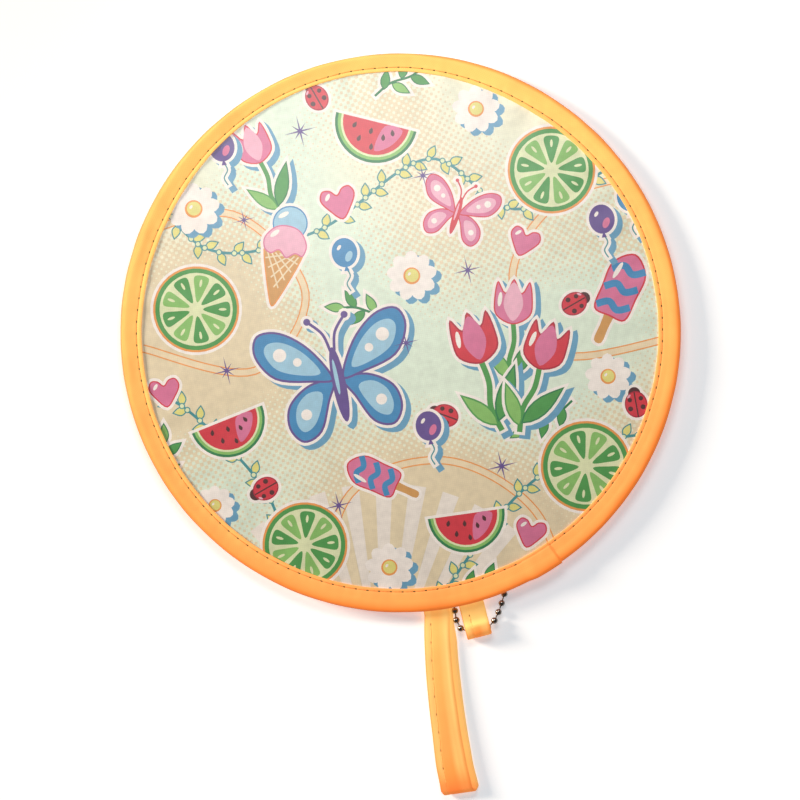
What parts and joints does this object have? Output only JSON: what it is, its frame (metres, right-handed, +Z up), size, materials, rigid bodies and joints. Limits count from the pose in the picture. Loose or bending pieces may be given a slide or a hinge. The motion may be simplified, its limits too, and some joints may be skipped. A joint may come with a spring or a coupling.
{
  "type": "folding fan",
  "caption": "Round twist-fold fan: printed cloth disc on a sprung steel hoop in a sewn hem, with a wrist strap and a small tab that carries a loop of ball chain.",
  "frame": {"origin": "under the middle of the box, on the surface that the fan lies on", "axes": "+Z up out of the printed face, -Y along the wrist strap, +X to the right seen from above with the strap towards the viewer"},
  "size_m": [0.1999, 0.2658, 0.0069],
  "materials": {
    "printed_cloth": "thin printed polyester taffeta, soft sheen",
    "hem_tape": "orange polyester taffeta tape, folded and lockstitched",
    "spring_steel": "tempered flat spring steel, oiled",
    "nickel_plate": "bright nickel plate on steel"
  },
  "bodies": {
    "fan": {"fan_panel": "printed_cloth", "edge_binding": "hem_tape", "spring_hoop": "spring_steel", "hoop_sleeve": "spring_steel", "strap_root": "hem_tape", "tab_root": "hem_tape"},
    "strap": {"wrist_strap": "hem_tape"},
    "tab": {"chain_tab": "hem_tape"},
    "chain": {"chain_ball_01": "nickel_plate", "chain_ball_02": "nickel_plate", "chain_ball_03": "nickel_plate", "chain_ball_04": "nickel_plate", "chain_ball_05": "nickel_plate", "chain_ball_06": "nickel_plate", "chain_ball_07": "nickel_plate", "chain_ball_08": "nickel_plate", "chain_ball_09": "nickel_plate", "chain_ball_10": "nickel_plate", "chain_ball_11": "nickel_plate", "chain_ball_12": "nickel_plate", "chain_ball_13": "nickel_plate", "chain_ball_14": "nickel_plate", "chain_ball_15": "nickel_plate", "chain_ball_16": "nickel_plate", "chain_ball_17": "nickel_plate", "chain_ball_18": "nickel_plate", "chain_ball_19": "nickel_plate", "chain_ball_20": "nickel_plate", "chain_ball_21": "nickel_plate", "chain_ball_22": "nickel_plate", "chain_ball_23": "nickel_plate", "chain_ball_24": "nickel_plate", "chain_link_01": "nickel_plate", "chain_link_02": "nickel_plate", "chain_link_03": "nickel_plate", "chain_link_04": "nickel_plate", "chain_link_05": "nickel_plate", "chain_link_06": "nickel_plate", "chain_link_07": "nickel_plate", "chain_link_08": "nickel_plate", "chain_link_09": "nickel_plate", "chain_link_10": "nickel_plate", "chain_link_11": "nickel_plate", "chain_link_12": "nickel_plate", "chain_link_13": "nickel_plate", "chain_link_14": "nickel_plate", "chain_link_15": "nickel_plate", "chain_link_16": "nickel_plate", "chain_link_17": "nickel_plate", "chain_link_18": "nickel_plate", "chain_link_19": "nickel_plate", "chain_link_20": "nickel_plate", "chain_link_21": "nickel_plate", "chain_link_22": "nickel_plate", "chain_link_23": "nickel_plate"},
    "coupling": {"chain_coupling": "nickel_plate"}
  },
  "joints": [
    {"name": "strap_swing", "type": "hinge", "parent": "fan", "child": "strap", "pos_m": [0, -0.06865, 0.00125], "axis": [-1, 0, 0], "range_deg": [-90, 90]},
    {"name": "tab_swing", "type": "hinge", "parent": "fan", "child": "tab", "pos_m": [0.01134, -0.06802, 0.00125], "axis": [-0.9938, -0.1116, 0], "range_deg": [0, 90]},
    {"name": "chain_swing", "type": "hinge", "parent": "tab", "child": "chain", "pos_m": [0.01225, -0.07616, 0.0026], "axis": [-0.9938, -0.1116, 0], "range_deg": [0, 180]},
    {"name": "coupling_slide", "type": "slide", "parent": "chain", "child": "coupling", "axis": [0.214, 0.9768, 0], "range_m": [0, 0.003]}
  ]
}
